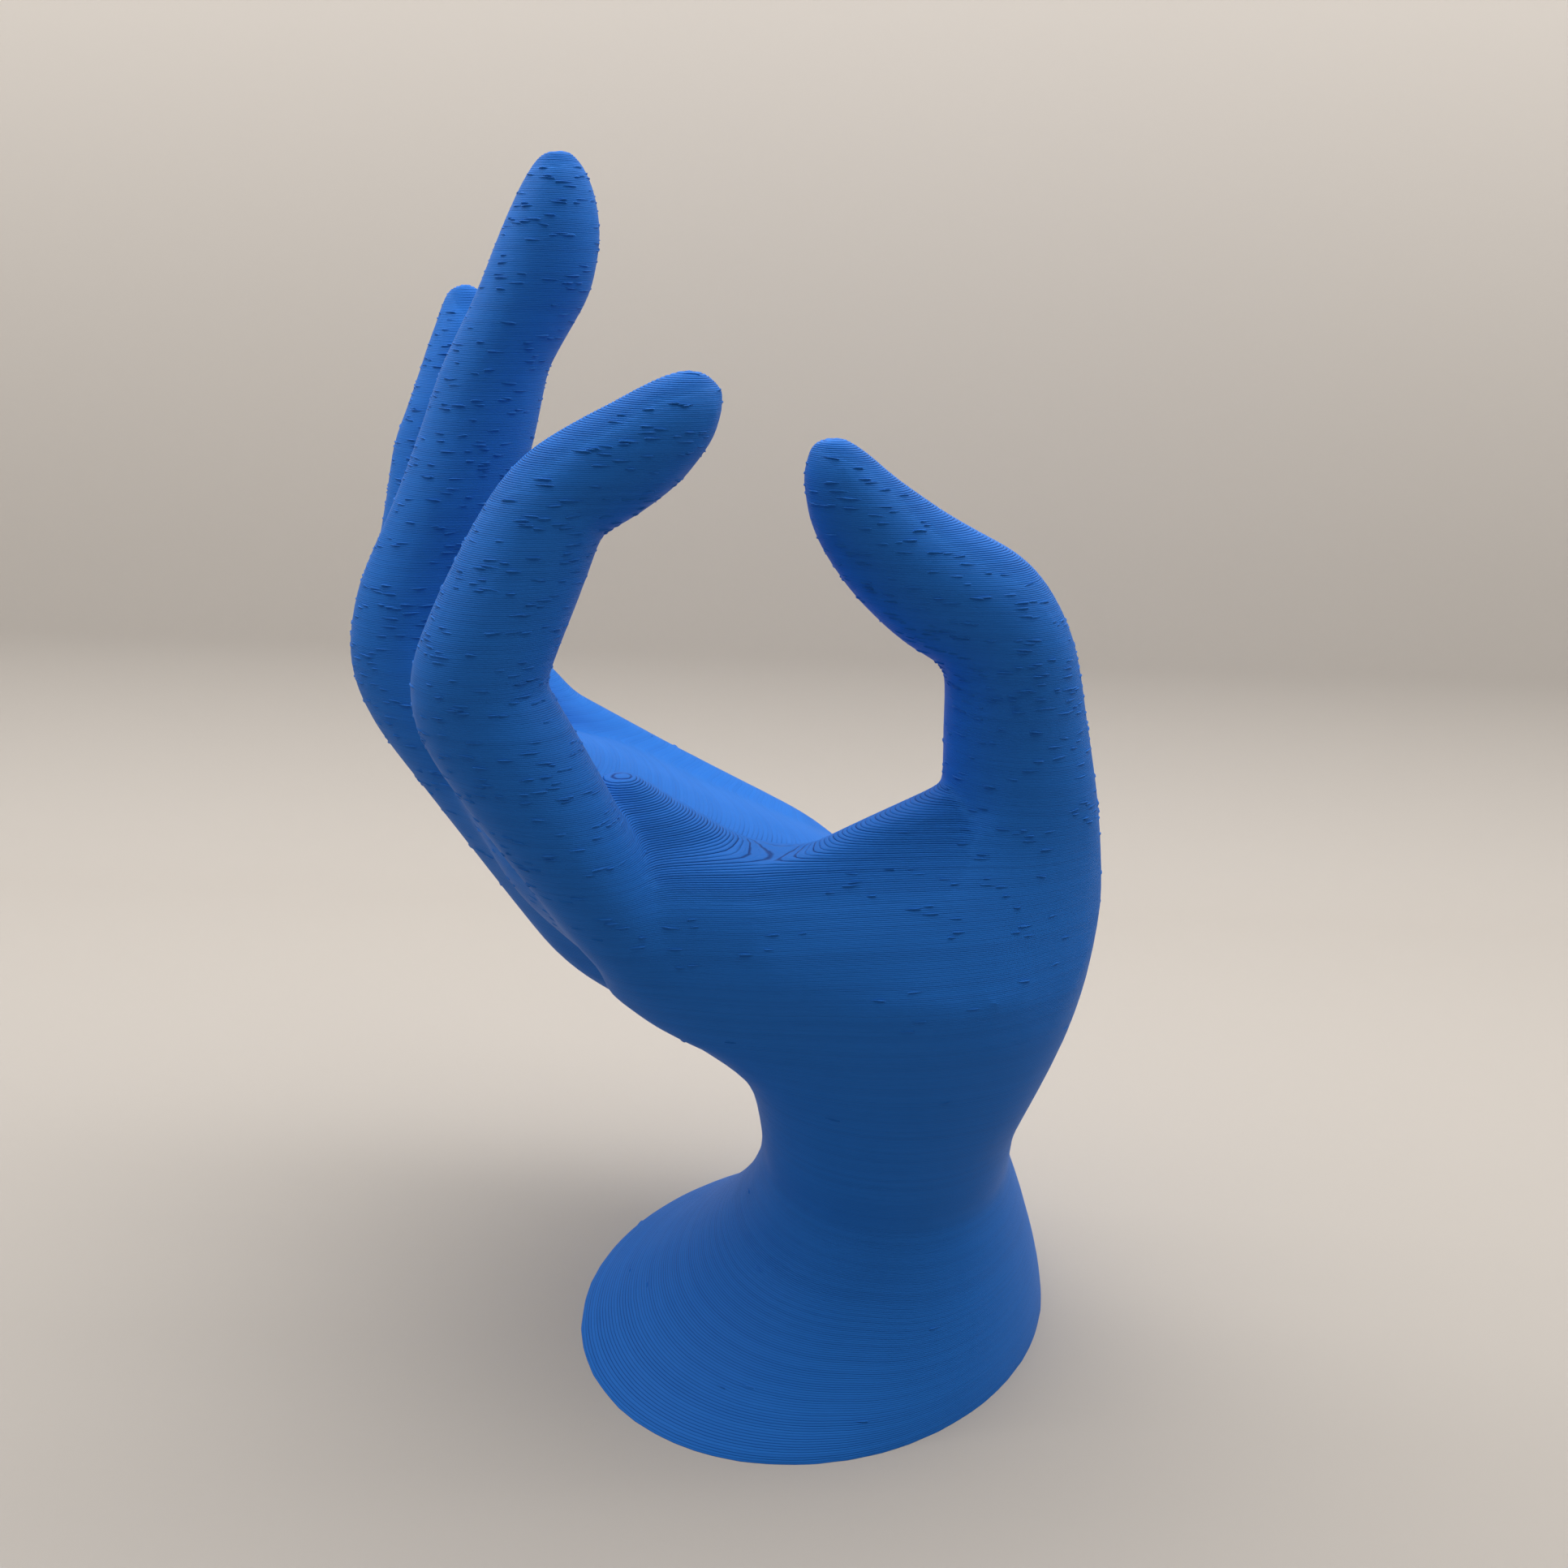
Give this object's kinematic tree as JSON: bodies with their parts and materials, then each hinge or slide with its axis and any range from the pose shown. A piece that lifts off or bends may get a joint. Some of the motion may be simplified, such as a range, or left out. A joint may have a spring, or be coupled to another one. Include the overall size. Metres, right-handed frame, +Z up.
{
  "type": "hand jewelry stand",
  "caption": "Slim open left hand rising from a flared oval foot, with thumb and index finger curled towards each other to hold rings, bracelets and necklaces.",
  "frame": {"origin": "middle of the bounding box, on the floor plane under the foot", "axes": "+Z up along the hand, +X from the back of the fingers towards the thumb, -Y out of the side with the thumb and the index finger, where the picture was taken from"},
  "size_m": [0.114, 0.0972, 0.175],
  "materials": {
    "blue_plastic": "matt blue filament, printed in fine level layers"
  },
  "bodies": {
    "root": {"hand_stand": "blue_plastic"}
  },
  "joints": []
}
